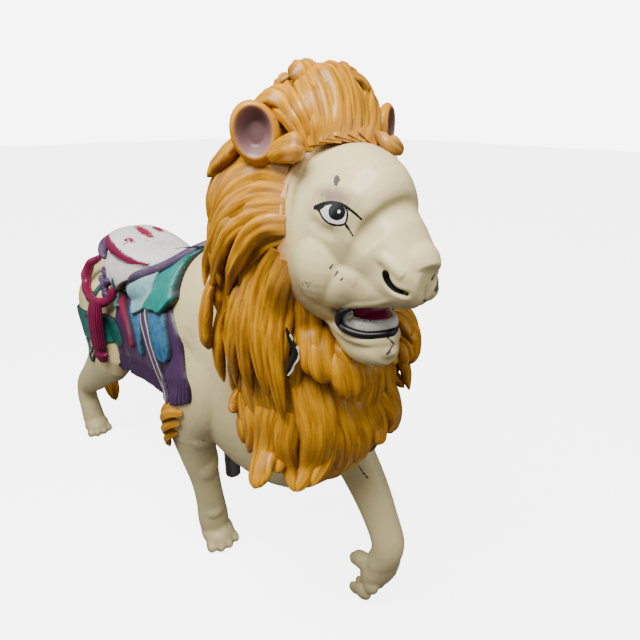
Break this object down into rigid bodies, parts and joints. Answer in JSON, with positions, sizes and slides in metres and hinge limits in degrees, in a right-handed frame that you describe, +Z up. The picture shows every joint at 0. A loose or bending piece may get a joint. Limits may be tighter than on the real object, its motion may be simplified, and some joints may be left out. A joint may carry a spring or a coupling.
{
  "type": "carousel lion figure",
  "caption": "Striding lion with a full swept mane, an open mouth, a saddle, hanging trappings and a pole tube under its belly.",
  "frame": {"origin": "middle of the figure's length and width, on the floor that its paws stand on", "axes": "+X towards the nose, +Y to the lion's left, +Z up"},
  "size_m": [1.6888, 0.4582, 1.3368],
  "materials": {
    "painted_shell": "thick brushed gloss paint, worn and chipped",
    "steel_tube": "dull drawn steel"
  },
  "bodies": {
    "root": {"lion": "painted_shell", "pole_tube": "steel_tube"}
  },
  "joints": []
}
